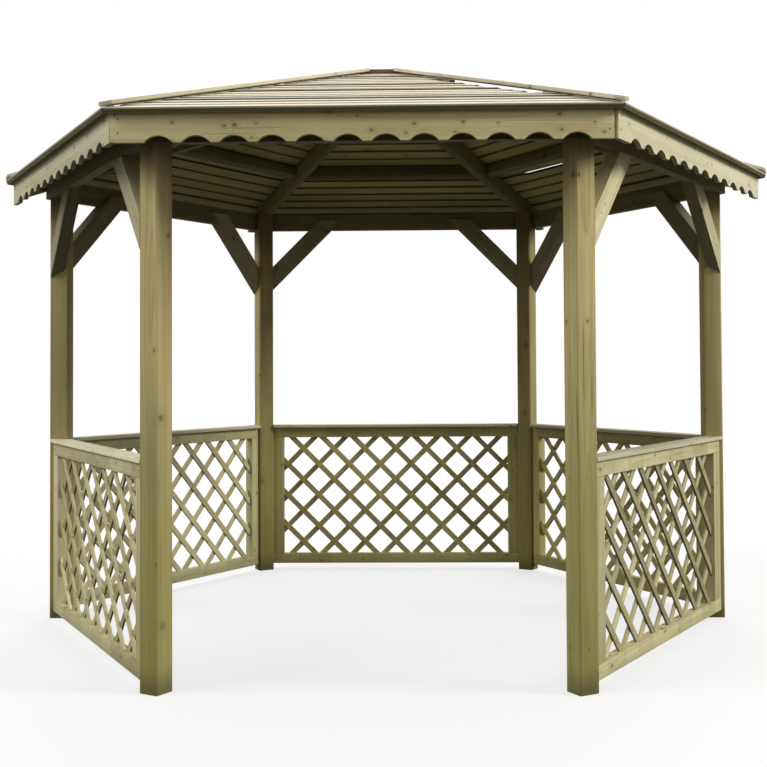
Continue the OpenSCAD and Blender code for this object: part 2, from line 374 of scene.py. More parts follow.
# %% The finishes
SMALL_CELL = (0.3, 0.06)  # panel timbers are narrow, so their knots are small and close
FINISHES = {
    "post_timber": timber("post_timber", srgb(207, 190, 138), srgb(158, 134, 78),
                          cast=0.3, checks=0.7, soil_and_shade=0.7),
    # Painted darker for the shade under the roof, on headers, purlins and the king block
    "frame_timber": timber("frame_timber", srgb(142, 133, 102), srgb(98, 89, 66), cast=0.25, checks=0.5),
    "rafter_timber": timber("rafter_timber", srgb(152, 144, 92), srgb(106, 96, 58), cast=0.4, checks=0.5),
    "brace_timber": timber("brace_timber", srgb(214, 206, 170), srgb(168, 154, 112), cast=0.22),
    "panel_timber": timber("panel_timber", srgb(212, 204, 164), srgb(172, 160, 112),
                           cast=0.25, soil_and_shade=0.15, cell=SMALL_CELL, jointed=True),
    # Painted greener and deeper for the shade on the back panels' inner sides
    "shaded_inner_panel": timber("shaded_inner_panel", srgb(198, 187, 130), srgb(154, 141, 90),
                          cast=0.35, soil_and_shade=0.15, cell=SMALL_CELL, jointed=True),
    "cap_timber": timber("cap_timber", srgb(218, 213, 184), srgb(180, 171, 132), cast=0.18),
    "roof_timber": timber("roof_timber", srgb(198, 190, 130), srgb(146, 134, 82),
                          cast=0.35, knots=0.8, under=0.0, bleached=srgb(224, 214, 190)),
    "fascia_timber": timber("fascia_timber", srgb(237, 231, 198), srgb(207, 195, 152),
                            cast=0.16, cell=(0.24, 0.05)),
    "tan_fascia": timber("tan_fascia", srgb(234, 220, 168), srgb(196, 174, 120),
                         cast=0.2, cell=(0.17, 0.05)),
    "cover_timber": timber("cover_timber", srgb(218, 210, 184), srgb(172, 159, 126), cast=0.22),
    # Painted dark for the shade on the apex cap's face
    "shaded_apex_timber": timber("shaded_apex_timber", srgb(118, 104, 84), srgb(84, 72, 56), cast=0.1, checks=0.8),
}
print(len(FINISHES), "timber finishes")

# %% [markdown]
# ## From a construction solid to a piece of timber
# A planed or sawn timber never has knife edges. The frame's own meshes stay untouched: each is copied, its
# loose triangles are merged, flat faces are joined, and the arrises are eased by a millimetre or two. The
# copy is split into its separate timbers, and each is given its own grain frame.


# %% A piece made of timbers
ARRIS = math.radians(28)  # an edge that turns further than this is an arris
GROWN_EASE = 0.001  # on boards and laths


def ease_arrises(part, offset, **rounding):
    """Takes the sharpness off a solid's edges."""
    sharp = [e for e in part.edges if e.is_manifold and e.calc_face_angle(0) > ARRIS]
    bmesh.ops.bevel(part, geom=sharp, offset=offset, affect="EDGES", clamp_overlap=True, **rounding)


def hand_in(name, mesh, replaced):
    """Makes the object, and lets it stand for the nodes it replaces."""
    piece = bpy.data.objects.new(name, mesh)
    scene.collection.objects.link(piece)
    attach(piece, "root")
    if replaced:
        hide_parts(*replaced)


class Piece:
    """Gathers timbers into one mesh, with the attributes that the finishes read."""

    def __init__(self, name, seed):
        self.name, self.draw = name, random.Random(seed)
        self.points, self.faces, self.grain, self.tone, self.spliced = [], [], [], [], []

    def add(self, part, along, ease, tone=None, place=None, spliced=0.0):
        """Eases a bmesh solid's edges, then adds it. along is a matrix whose X axis is the grain."""
        if ease:
            ease_arrises(part, ease, segments=2, profile=0.6)
        if place:
            bmesh.ops.transform(part, matrix=place, verts=part.verts)
        local = along.inverted()
        draw = self.draw.uniform
        shift = Vector((draw(0, 60), draw(-0.03, 0.03), draw(0.02, 0.075)))  # a log of its own
        tone = self.draw.random() if tone is None else tone
        first = len(self.points)
        part.verts.index_update()
        for v in part.verts:
            self.points.append(tuple(v.co))
            self.grain.append(tuple(local @ v.co + shift))
            self.tone.append(tone)
            self.spliced.append(spliced)
        self.faces += [tuple(first + v.index for v in f.verts) for f in part.faces]
        part.free()

    def finish(self, finish, replaced, slot=None):
        """Makes the piece, with the finish's material. The slot is not used."""
        mesh = bpy.data.meshes.new(self.name)
        mesh.from_pydata(self.points, [], self.faces)
        for label, kind, values in (("grain", "FLOAT_VECTOR", self.grain), ("tone", "FLOAT", self.tone),
                                    ("spliced", "FLOAT", self.spliced)):
            attribute = mesh.attributes.new(label, kind, "POINT")
            flat = [c for v in values for c in v] if kind == "FLOAT_VECTOR" else values
            attribute.data.foreach_set("vector" if kind == "FLOAT_VECTOR" else "value", flat)
        mesh.polygons.foreach_set("use_smooth", [True] * len(mesh.polygons))
        mesh.set_sharp_from_angle(angle=math.radians(20))
        mesh.materials.append(FINISHES[finish])
        mesh.validate()
        hand_in(self.name, mesh, replaced)


def solids(node):
    """The separate closed solids of a node, merged and with flat faces joined, as bmeshes."""
    whole = bmesh.new()
    whole.from_mesh(nodes[node].data)
    bmesh.ops.remove_doubles(whole, verts=whole.verts, dist=2e-5)
    bmesh.ops.dissolve_limit(whole, angle_limit=math.radians(0.4), verts=whole.verts, edges=whole.edges)
    left, found = set(whole.verts), []
    while left:
        island, edge = set(), [left.pop()]
        while edge:
            v = edge.pop()
            island.add(v)
            for e in v.link_edges:
                other = e.other_vert(v)
                if other in left:
                    left.remove(other)
                    edge.append(other)
        part, new = bmesh.new(), {}
        for v in sorted(island, key=lambda v: v.index):
            new[v] = part.verts.new(v.co)
        for f in whole.faces:
            if f.verts[0] in new:
                part.faces.new([new[v] for v in f.verts])
        part.normal_update()
        found.append(part)
    whole.free()
    return sorted(found, key=lambda p: (round(middle(p).x, 3), round(middle(p).y, 3)))


def middle(part):
    """Middle of a solid's box."""
    low = Vector([min(v.co[k] for v in part.verts) for k in range(3)])
    high = Vector([max(v.co[k] for v in part.verts) for k in range(3)])
    return (low + high) / 2


def axes(origin, along, outward):
    """A frame whose X runs along the grain and whose Z is as near as may be to outward."""
    x = Vector(along).normalized()
    y = Vector(outward).cross(x).normalized()
    z = x.cross(y)
    return Matrix.Translation(origin) @ Matrix((x, y, z)).transposed().to_4x4()


def outward(i):
    """Points out through the middle of side number i."""
    return side_turn(i) @ Vector((1, 0, 0))


def lengthwise(i):
    """Runs along side number i."""
    return side_turn(i) @ Vector((0, 1, 0))


# %% [markdown]
# ## Posts, headers and the roof's carcass
# The posts carry everything: 88 mm square, turned so that one face looks straight out, with their long
# arrises already chamfered by the construction. Headers are mitred over them. Rafters, purlins and the king
# block are seen only from below.
#
# Some timbers have a tone set here that paints the light or shade that falls on them, past 0 or 1 where they
# are painted very dark or very light. A timber that isn't in a table draws its tone from its piece's own seed.

# %% Tones that paint light and shade
# Painted light and shade on each post, by post
POST_PAINTED_LIGHT = {"right": 0.85, "back_right": -0.2, "back_left": 0.15, "left": 0.4, "front_left": 0.55,
              "front_right": 0.6}
# Painted shade on the front headers, under the fascias
HEADER_PAINTED_SHADE = {"front": -1.4, "front_left": -0.8}
# Painted light and shade on each brace: by side, then at the end that lengthwise() points away from (-1) or to
# (1)
BRACE_PAINTED_LIGHT = {
    ("front_right", -1): 1.2, ("front_right", 1): 0.4, ("back_right", -1): -0.8, ("back_right", 1): -0.5,
    ("back", -1): -0.7, ("back", 1): -0.6, ("back_left", -1): 0.2, ("back_left", 1): -0.8,
    ("front_left", -1): -0.7, ("front_left", 1): 0.3,
}
# Painted light on the top of the front left capping rail
CAP_RAIL_PAINTED_LIGHT = {"front_left": 1.5}
# Painted light and shade on each fascia, by side
FASCIA_PAINTED_LIGHT = {"front": 0.85, "front_left": 0.15, "front_right": 0.55}
# Painted light and shade on a layer of laths, by side and by the way the laths lean; added to each lath's own
# tone
LATH_PAINTED_LIGHT = {("front_right", 1): -1.1, ("front_left", 1): 0.3, ("front_left", -1): -0.9}
print(len(BRACE_PAINTED_LIGHT), "braces have a tone set by hand")

# %% Posts and headers
for i, name in enumerate(POSTS):
    piece = Piece("timber_post_" + name, 100 + i)
    for part in solids("post_" + name):
        grain_frame = axes(middle(part), UP, post_turn(i) @ Vector((1, 0, 0)))
        piece.add(part, grain_frame, 0.0015, tone=POST_PAINTED_LIGHT[name])
    piece.finish("post_timber", ["post_" + name])
for i, name in enumerate(SIDES):
    piece = Piece("timber_header_" + name, 120 + i)
    for part in solids("header_" + name):
        grain_frame = axes(middle(part), lengthwise(i), outward(i))
        piece.add(part, grain_frame, 0.002, tone=HEADER_PAINTED_SHADE.get(name))
    piece.finish("frame_timber", ["header_" + name])
print("posts and headers eased")


# %% Rafters, purlins, king block
def down_hip(turn):
    """Runs down a hip from the middle, at an angle seen from above."""
    level = math.cos(HIP_SLOPE)
    return Vector((math.cos(turn) * level, math.sin(turn) * level, -math.sin(HIP_SLOPE)))


for node, seed in (("hip_rafters", 140), ("purlins", 150), ("king_block", 160)):
    piece = Piece("timber_" + node, seed)
    for part in solids(node):
        centre = middle(part)
        turn = math.atan2(centre.y, centre.x)
        along, face = {
            "hip_rafters": (down_hip(turn), UP),
            "purlins": (Vector((-math.sin(turn), math.cos(turn), 0)), UP),
            "king_block": (UP, (1, 0, 0)),
        }[node]
        piece.add(part, axes(centre, along, face), 0.002)
    piece.finish("rafter_timber" if node == "hip_rafters" else "frame_timber", [node], "frame_timber")
print("carcass eased")

# %% [markdown]
# ## Braces, capping rails and fascias
# The knee braces run at 45 degrees, so their grain does too. The fascias stand on the entrance and on the two
# sides next to it.

# %% Braces and capping rails
for i in PANELLED:
    name = SIDES[i]
    piece = Piece("timber_braces_" + name, 170 + i)
    for part in solids("braces_" + name):
        side = 1 if (middle(part) - outward(i) * POST_LINE).dot(lengthwise(i)) > 0 else -1
        along = (lengthwise(i) * side + Vector((0, 0, -1))).normalized()
        piece.add(part, axes(middle(part), along, outward(i)), 0.002, tone=BRACE_PAINTED_LIGHT[name, side])
    piece.finish("brace_timber", ["braces_" + name])
    piece = Piece("timber_cap_rail_" + name, 180 + i)
    for part in solids("cap_rail_" + name):
        piece.add(part, axes(middle(part), lengthwise(i), UP), 0.0025, tone=CAP_RAIL_PAINTED_LIGHT.get(name))
    piece.finish("cap_timber", ["cap_rail_" + name])
print(len(PANELLED), "sides with braces and a capping rail")

# %% Fascias
for i in FASCIAED:
    name = SIDES[i]
    piece = Piece("timber_fascia_" + name, 190 + i)
    for part in solids("fascia_" + name):
        piece.add(part, axes(middle(part), lengthwise(i), outward(i)), 0.0015, tone=FASCIA_PAINTED_LIGHT[name])
    piece.finish("tan_fascia" if name == "front" else "fascia_timber", ["fascia_" + name], "fascia_timber")
print(len(FASCIAED), "fascias")

# %% [markdown]
# ## Covers and packing
# A strip covers each hip, and the apex cap sits where they meet. Boards meet under a strip with a gap between
# their ends, so a thin batten packs it. Two of the six battens are in short lengths, and daylight shows
# through the gaps.

# %% Hip strips, packing and apex cap
PACKING_WIDE, PACKING_DEEP = 0.026, 0.012
PACKING_DROP = 0.0005  # below the boards' own surface, to lie clear of the strip
WHOLE = [(0.22, 1.81)]  # from the middle, measured level, where a batten starts and ends
PACKED = {
    "front_left": [(0.22, 0.32), (0.37, 0.77), (0.83, 1.73), (1.79, 1.81)],
    "front_right": [(0.22, 0.66), (1.36, 1.81)],
}


def bar(start, end, width, depth):
    """A square-cut bar whose top face runs along the line between two points."""
    way = (end - start).normalized()
    side = Vector((0, 0, 1)).cross(way).normalized() * (width / 2)
    down = way.cross(side).normalized() * depth
    down = down if down.z < 0 else -down
    part = bmesh.new()
    corners = [[part.verts.new(p + q) for q in (side, -side, down - side, down + side)] for p in (start, end)]
    part.faces.new(corners[0][::-1])
    part.faces.new(corners[1])
    for k in range(4):
        n = (k + 1) % 4
        part.faces.new([corners[0][k], corners[0][n], corners[1][n], corners[1][k]])
    bmesh.ops.recalc_face_normals(part, faces=part.faces)
    return part


def ridge(i, r):
    """A point just under hip strip number i, at a distance from the middle."""
    return post_turn(i) @ Vector((r, 0, roof_z(r * math.cos(HALF_SIDE)) - PACKING_DROP))


piece = Piece("timber_hip_strips", 200)
for part in solids("hip_strips"):
    centre = middle(part)
    piece.add(part, axes(centre, down_hip(math.atan2(centre.y, centre.x)), UP), 0.0015)
for i, name in enumerate(POSTS):
    for near, far in PACKED.get(name, WHOLE):
        start, end = ridge(i, near), ridge(i, far)
        # The battens get a darker tone: a little painted shade under the strips
        piece.add(bar(start, end, PACKING_WIDE, PACKING_DEEP), axes(start, end - start, UP), 0, tone=0.0)
piece.finish("cover_timber", ["hip_strips"])
piece = Piece("timber_apex_cap", 210)
for part in solids("apex_cap"):
    piece.add(part, axes(middle(part), (1, 0, 0), UP), 0.003)
piece.finish("shaded_apex_timber", ["apex_cap"], "cover_timber")
print("hips and apex covered")

# %% [markdown]
# ## A rule as a Geometry Nodes tree
# Boards and laths repeat by a rule, so each is a tree with named inputs for its sizes. Every board starts as
# the same small box. Its corners are then sent to their places by arithmetic on the board's number and on
# where the corner was in the box.


# %% Building and running a tree
def new_tree(name, sizes):
    """A geometry tree with named float inputs; returns its maker and the inputs by name."""
    tree = bpy.data.node_groups.new(name, "GeometryNodeTree")
    tree.interface.new_socket("Geometry", in_out="INPUT", socket_type="NodeSocketGeometry")
    tree.interface.new_socket("Geometry", in_out="OUTPUT", socket_type="NodeSocketGeometry")
    for label in sizes:
        tree.interface.new_socket(label, in_out="INPUT", socket_type="NodeSocketFloat")
    entry = tree.nodes.new("NodeGroupInput")
    m = Maker(tree)
    return m, {label: Value(m, entry.outputs[label]) for label in list(sizes) + ["Geometry"]}


def close_tree(m, geometry, material):
    """Ends a tree in Realize Instances and Set Material."""
    whole = m.node("GeometryNodeRealizeInstances", (), {"Geometry": geometry})
    named = m.node("GeometryNodeSetMaterial", (), {"Geometry": whole, "Material": material})
    m.join(named, m.tree.nodes.new("NodeGroupOutput").inputs["Geometry"])


def grow(name, m, values, start=None):
    """Runs a tree on an object and returns the plain mesh."""
    carrier = bpy.data.objects.new(name + "_rule", start or bpy.data.meshes.new(name + "_rule"))
    scene.collection.objects.link(carrier)
    modifier = carrier.modifiers.new("rule", "NODES")
    modifier.node_group = m.tree
    labels = {item.name: item.identifier for item in m.tree.interface.items_tree if item.in_out == "INPUT"}
    for label, value in values.items():
        modifier[labels[label]] = float(value)
    ready = carrier.evaluated_get(bpy.context.evaluated_depsgraph_get())
    mesh = bpy.data.meshes.new_from_object(ready)
    bpy.data.objects.remove(carrier)
    mesh.name = name
    return mesh


def stored(m, name, kind="FLOAT"):
    """A value that is kept on every point, in a geometry tree."""
    return m.node("GeometryNodeInputNamedAttribute", {"data_type": kind}, {"Name": name})


def numbered_boxes(m, count, cuts, rows=2):
    """A unit box for each number from 0, with points along it and across it; returns them and the number."""
    line = m.node("GeometryNodeMeshLine", {"mode": "OFFSET"}, {"Count": count, "Offset": (0, 0, 0)})
    box = m.node("GeometryNodeMeshCube", (), {
        "Size": (1, 1, 1), "Vertices X": rows, "Vertices Y": cuts, "Vertices Z": 2})
    number = m.node("GeometryNodeInputIndex")
    kept = m.node("GeometryNodeStoreNamedAttribute", {"data_type": "FLOAT", "domain": "POINT"},
                  {"Geometry": line, "Name": "number", "Value": number})
    placed = m.node("GeometryNodeInstanceOnPoints", (), {"Points": kept, "Instance": box})
    return m.node("GeometryNodeRealizeInstances", (), {"Geometry": placed}), stored(m, "number")


def chance(m, number, seed, salt):
    """A random number from 0 to 1 for each board."""
    return m.node("FunctionNodeRandomValue", {"data_type": "FLOAT"},
                  {"ID": m.math("ROUND", number + salt * 1000), "Seed": m.math("ROUND", seed)}, 1)


def store(m, geometry, name, value, kind):
    """Keeps a value on every point. This comes before the corners are moved from their box."""
    return m.node("GeometryNodeStoreNamedAttribute", {"data_type": kind, "domain": "POINT"},
                  {"Geometry": geometry, "Name": name, "Value": value})


# %% [markdown]
# ## The roof boards
# The roof is lapped boarding: each board lies over the top edge of the one below, thick at its lower edge and
# thin at its upper one, and shows 87 mm of its width. All are cut to the hip line, a little unevenly, and the
# covering strips hide their ends. The rule places a corner by three numbers: how far up the slope it is, how
# far along the board, and how far above the rafters.

# %% The rule for lapped boards
BOARD_SHOWS = 0.087
BOARDS = 18
SHORT_BOARDS = (5, 12)  # the first and last board that can be cut short
boards, given = new_tree("lapped boarding", [
    "Shows", "Lap", "Thick edge", "Thin edge", "Eave", "Eave height", "Pitch", "Ceiling", "Hip gap", "Turn",
    "Seed", "Slit board", "Slit", "Short", "Short end", "Groove"])
loose, number = numbered_boxes(boards, BOARDS, 15, 3)
bx, by, bz = boards.parts(boards.node("GeometryNodeInputPosition"))
# A board has three rows of points: its lower edge, the line where the board below ends, and its upper edge
lap_share = given["Lap"] / (given["Shows"] + given["Lap"])
is_middle = boards.math("COMPARE", bx, 0.0, 0.1)
up_board = (bx + 0.5) * (1.0 - is_middle) + lap_share * is_middle
ragged = [chance(boards, number, given["Seed"], salt) for salt in range(7)]
wander = boards.node("ShaderNodeTexNoise", {"noise_dimensions": "2D"}, {
    "Vector": boards.vector(by * 5.0, number * 7.31 + given["Seed"], 0.0),
    "Scale": 1.0, "Detail": 2.0}, 0) - 0.5
is_first = boards.math("LESS_THAN", number, 0.5)
is_slit = boards.math("COMPARE", number, given["Slit board"], 0.5)
slit = is_slit * given["Slit"] * (by * 2.0).ramp(-0.24, -0.04) * (by * 2.0).ramp(0.74, 0.60)
width = given["Shows"] + given["Lap"] - slit
slope_way = number * given["Shows"] + up_board * width + wander * 0.004 * (1.0 - up_board) * (1.0 - is_first)
taper = given["Thin edge"] - given["Thick edge"]
lap_height = given["Thick edge"] + taper * (given["Shows"] / (given["Shows"] + given["Lap"]))
# Its underside rests on the board below along the lap, and comes down to the rafters beyond it
under = (lap_height * boards.math("LESS_THAN", bx, -0.4) + given["Groove"] * is_middle) * (1.0 - is_first)
over = given["Thick edge"] + taper * up_board
lift = wander * 0.0016 + (ragged[5] ** 4.0) * 0.006 * (1.0 - is_first)
above = under + (over - under) * (bz + 0.5) + lift * (1.0 - up_board) - given["Thick edge"] - 0.0008
cos_p, sin_p = boards.math("COSINE", given["Pitch"]), boards.math("SINE", given["Pitch"])
out = given["Eave"] - slope_way * cos_p + above * sin_p
high = boards.math("MINIMUM", given["Eave height"] + slope_way * sin_p + above * cos_p, given["Ceiling"])
half = out * math.tan(HALF_SIDE) - given["Hip gap"] - ragged[0] * 0.007
is_short = (boards.math("GREATER_THAN", number, SHORT_BOARDS[0] - 0.5)
            * boards.math("LESS_THAN", number, SHORT_BOARDS[1] + 0.5))
missing = is_short * given["Short"] * (ragged[6] * 0.5 + 0.75)
along_board = by * (half * 2.0 - missing) - given["Short end"] * missing * 0.5
marked = store(boards, loose, "grain", boards.vector(
    along_board + ragged[1] * 50.0, up_board * 0.107 + ragged[2] * 0.06 - 0.08,
    bz * 0.02 + ragged[3] * 0.05 + 0.02), "FLOAT_VECTOR")
for label, value in (("tone", ragged[4]), ("across", up_board), ("upper", bz + 0.5)):
    marked = store(boards, marked, label, value, "FLOAT")
turned = boards.node("GeometryNodeSetPosition", (), {
    "Geometry": marked, "Position": boards.vector(out, along_board, high)})
turned = boards.node("GeometryNodeTransform", (), {
    "Geometry": turned, "Rotation": boards.vector(0.0, 0.0, given["Turn"])})
close_tree(boards, turned, FINISHES["roof_timber"])

# %% [markdown]
# One board of the back right slope is narrow along a part of its length, which leaves a slit of daylight, and
# some boards on both sides of the front right hip are cut short of it.

# %% Six slopes of boards
SLIT_BOARDS = {"back_right": 5}
NO_BOARD = -9
SHORT_ENDS = {"front": 1, "front_right": -1}  # which end of the boards is cut short
for i, name in enumerate(SIDES):
    mesh = grow("boards_" + name, boards, {
        "Shows": BOARD_SHOWS, "Lap": 0.02, "Thick edge": 0.02, "Thin edge": 0.0165, "Groove": 0.005,
        "Eave": EAVE, "Eave height": EAVE_Z, "Pitch": PITCH, "Ceiling": CAP_Z - 0.0005, "Hip gap": 0.0015,
        "Turn": side_angle(i), "Seed": 31 + i, "Slit board": SLIT_BOARDS.get(name, NO_BOARD), "Slit": 0.0168,
        "Short": 0.065 if name in SHORT_ENDS else 0, "Short end": SHORT_ENDS.get(name, -1),
    })
    part = bmesh.new()
    part.from_mesh(mesh)
    ease_arrises(part, GROWN_EASE, segments=1)
    part.to_mesh(mesh)
    part.free()
    hand_in(mesh.name, mesh, ["roof_" + name])
print(len(SIDES) * BOARDS, "roof boards,", len(mesh.polygons), "faces a slope")

# %% [markdown]
# ## The lattice panels
# Each panel is a frame of four timbers: long rails at top and bottom with the stiles standing between them,
# all cut to the posts' faces. Inside it lie two layers of laths that cross at right angles and run a little
# way into the frame. The laths follow a rule, so they are grown by a tree: the middle and the length of each
# one come from where its line leaves the opening.

# %% The rule for a layer of laths
panel_low, panel_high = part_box("panel_back")
RAIL_LOW, RAIL_TOP, STILE = 0.057, 0.058, 0.065
PANEL_IN, PANEL_OUT = panel_low.y, panel_high.y
OPEN_HALF = to_post(PANEL_IN) - STILE
OPEN_LOW, OPEN_HIGH = panel_low.z + RAIL_LOW, panel_high.z - RAIL_TOP
LATH_STEP, LATH_WIDE, LATH_THICK = 0.183, 0.030, 0.009
LATHS = 14  # in a layer, and the rule drops those that miss the opening
LATH_HOLD = 0.004  # how far a lath runs into the frame
SHORTEST_LATH = 0.012
LATH_AT = (PANEL_IN + PANEL_OUT) / 2
laths, given = new_tree("crossed laths", [
    "Half width", "Low", "High", "Lath width", "Lath thickness", "Step", "Lean", "Seed", "Turn", "Out",
    "Painted light"])
loose, number = numbered_boxes(laths, LATHS, 3)
bx, by, bz = laths.parts(laths.node("GeometryNodeInputPosition"))
odd = [chance(laths, number, given["Seed"], salt) for salt in range(5)]
middle_z = (given["Low"] + given["High"] + given["Step"]) * 0.5
crossing = (number - (LATHS - 1) // 2) * given["Step"] + (odd[3] - 0.5) * 0.005
rise = math.sqrt(0.5)
step_y = given["Lean"] * -rise
ends_y = [(given["Half width"] * sign - crossing) / step_y for sign in (-1.0, 1.0)]
start = laths.math("MAXIMUM", (given["Low"] - middle_z) / rise, laths.math("MINIMUM", *ends_y))
stop = laths.math("MINIMUM", (given["High"] - middle_z) / rise, laths.math("MAXIMUM", *ends_y))
length = stop - start
reach = given["Lath width"] * 0.5 + LATH_HOLD
way = start - reach + (by + 0.5) * (length + reach * 2.0)
beside = bx * given["Lath width"] * (odd[4] * 0.06 + 0.96)
lath_y = crossing + step_y * way + beside * rise
lath_z = middle_z + way * rise + beside * given["Lean"] * rise
lath_x = given["Out"] + (given["Lean"] * 0.5 + bz) * given["Lath thickness"]
flat = store(laths, loose, "grain", laths.vector(
    way + odd[0] * 40.0, beside + odd[1] * 0.05 - 0.025, bz * 0.009 + odd[2] * 0.03 + 0.02), "FLOAT_VECTOR")
# Each lath's random tone, plus the painted light and shade given for its layer
flat = store(laths, flat, "tone", odd[4] + given["Painted light"], "FLOAT")
flat = store(laths, flat, "length", length, "FLOAT")
flat = laths.node("GeometryNodeSetPosition", (), {
    "Geometry": flat, "Position": laths.vector(lath_x, lath_y, lath_z)})
too_short = laths.math("LESS_THAN", stored(laths, "length"), SHORTEST_LATH)
flat = laths.node("GeometryNodeDeleteGeometry", {"domain": "POINT"}, {
    "Geometry": flat, "Selection": too_short})
flat = laths.node("GeometryNodeTransform", (), {
    "Geometry": flat, "Rotation": laths.vector(0.0, 0.0, given["Turn"])})
close_tree(laths, flat, FINISHES["panel_timber"])


# %% Panel frames with their laths
def upright(outline, low, high):
    """A solid with a plan outline, given anticlockwise, between two heights."""
    part = bmesh.new()
    base = [part.verts.new((x, y, low)) for x, y in outline]
    top = [part.verts.new((x, y, high)) for x, y in outline]
    part.faces.new(base[::-1])
    part.faces.new(top)
    for k in range(len(outline)):
        n = (k + 1) % len(outline)
        part.faces.new([base[k], base[n], top[n], top[k]])
    bmesh.ops.recalc_face_normals(part, faces=part.faces)
    return part


def add_mesh(piece, mesh):
    """Adds a grown mesh, which already has its attributes, to a piece."""
    part = bmesh.new()
    part.from_mesh(mesh)
    ease_arrises(part, GROWN_EASE, segments=1)
    grain, tone = part.verts.layers.float_vector["grain"], part.verts.layers.float["tone"]
    first = len(piece.points)
    part.verts.index_update()
    for v in part.verts:
        piece.points.append(tuple(v.co))
        piece.grain.append(tuple(v[grain]))
        piece.tone.append(v[tone])
        piece.spliced.append(0.0)
    piece.faces += [tuple(first + v.index for v in f.verts) for f in part.faces]
    part.free()


# Panels painted with shade on their inner sides
SHADED_PANELS = ("back", "back_right")
for i in PANELLED:
    name, turn = SIDES[i], side_turn(i)
    piece = Piece("lattice_panel_" + name, 220 + i)
    ends = [(PANEL_IN, to_post(PANEL_IN)), (PANEL_OUT, to_post(PANEL_OUT))]
    rail = [(ends[0][0], -ends[0][1]), (ends[1][0], -ends[1][1]), ends[1], ends[0]]
    for low, high in ((panel_low.z, OPEN_LOW), (OPEN_HIGH, panel_high.z)):
        grain_frame = axes(turn @ Vector((LATH_AT, 0, low)), lengthwise(i), outward(i))
        piece.add(upright(rail, low, high), grain_frame, 0.002, place=turn, spliced=1.0)
    for sign in (-1, 1):
        stile = [(PANEL_IN, sign * OPEN_HALF), (PANEL_OUT, sign * OPEN_HALF)]
        stile += [(a, sign * b) for a, b in reversed(ends)]
        grain_frame = axes(turn @ Vector((LATH_AT, sign * OPEN_HALF, 0)), UP, outward(i))
        outline = stile if sign > 0 else stile[::-1]
        piece.add(upright(outline, OPEN_LOW, OPEN_HIGH), grain_frame, 0.002, place=turn)
    for lean in (-1, 1):
        add_mesh(piece, grow("laths", laths, {
            "Half width": OPEN_HALF, "Low": OPEN_LOW, "High": OPEN_HIGH, "Lath width": LATH_WIDE,
            "Lath thickness": LATH_THICK, "Step": LATH_STEP, "Lean": lean, "Seed": 60 + 2 * i + lean,
            "Turn": side_angle(i), "Out": LATH_AT, "Painted light": LATH_PAINTED_LIGHT.get((name, lean), 0),
        }))
    piece.finish("shaded_inner_panel" if name in SHADED_PANELS else "panel_timber", ["panel_" + name], "panel_timber")
print("five panels,", len(piece.faces), "faces each")

# %% [markdown]
# ## Nail and screw heads
# The gazebo is nailed and screwed together, and the heads show as small grey dots. Each head is the same
# flattened dome, so one tree sets it on every point of a cloud, facing the way that the point's own attribute
# says, at a size that varies a little. The places follow how each joint is usually fixed.

# %% Where the heads sit
spots = []  # place, facing and radius of each


def head(position, facing, radius, turn=Matrix.Identity(4)):
    """Notes a head at a place, facing a way, both in a frame that is then turned."""
    spots.append((turn @ Vector(position), (turn.to_3x3() @ Vector(facing)).normalized(), radius))


def between_posts(sign, a, back):
    """A place along a side, some way back from the post at one of its ends."""
    return sign * (to_post(a) - back)


NAIL, SCREW, PIN = 0.0036, 0.0046, 0.0022  # radii
STRIP_TOP = 0.0203  # of a hip strip, above the boards
BRACE_FACE, BRACE_FOOT = 0.057, 0.352  # past the line of the posts, and below the headers
PANEL_FOOT, CAP_RAIL_THICK = 0.036, 0.017  # above the ground; under the top of the rail
EDGE_CLEAR = 0.012  # between a pin and the frame around the laths
for i, name in enumerate(SIDES):
    turn, corner = side_turn(i), post_turn(i)
    if i in FASCIAED:
        for sign in (-1, 1):
            for up in (0.035, 0.085):
                y = sign * (FASCIA * math.tan(HALF_SIDE) - 0.030)
                head((FASCIA, y, FASCIA_LOW + up), (1, 0, 0), NAIL, turn)
    for k in range(6):
        r = 0.30 + k * 0.27
        for side in (-1, 1):
            z = roof_z(r * math.cos(HALF_SIDE)) + STRIP_TOP - side * 0.02 * math.tan(HIP_SLOPE)
            square_out = (math.sin(HIP_SLOPE), 0, math.cos(HIP_SLOPE))
            head((r + side * 0.02, side * 0.018, z), square_out, NAIL, corner)
    head((0.13, 0, CAP_TOP), UP, SCREW, corner)
for i in PANELLED:
    turn = side_turn(i)
    for sign in (-1, 1):
        for back in (0.03, 0.065):
            z = HEADER_LOW - BRACE_FOOT + back + 0.065
            head((POST_LINE + BRACE_FACE, between_posts(sign, POST_LINE, back), z), (1, 0, 0), SCREW, turn)
        for z in (PANEL_FOOT + 0.028, PANEL_TOP - CAP_RAIL_THICK - 0.029):
            for back in (0.02, 0.045):
                head((PANEL_OUT, between_posts(sign, PANEL_OUT, back), z), (1, 0, 0), NAIL, turn)
    for k in range(4):
        stagger = 0.012 if k % 2 else -0.012
        head((LATH_AT + stagger, (k - 1.5) * to_post(POST_LINE) * 0.6, PANEL_TOP), UP, NAIL, turn)
    for k in range(-14, 15):
        for j in range(-14, 15):
            y = (k + j) * LATH_STEP / 2
            z = (OPEN_LOW + OPEN_HIGH + LATH_STEP) / 2 + (k - j) * LATH_STEP / 2
            if abs(y) < OPEN_HALF - EDGE_CLEAR and OPEN_LOW + EDGE_CLEAR < z < OPEN_HIGH - EDGE_CLEAR:
                head((LATH_AT + LATH_THICK, y, z), (1, 0, 0), PIN, turn)
print(len(spots), "heads")

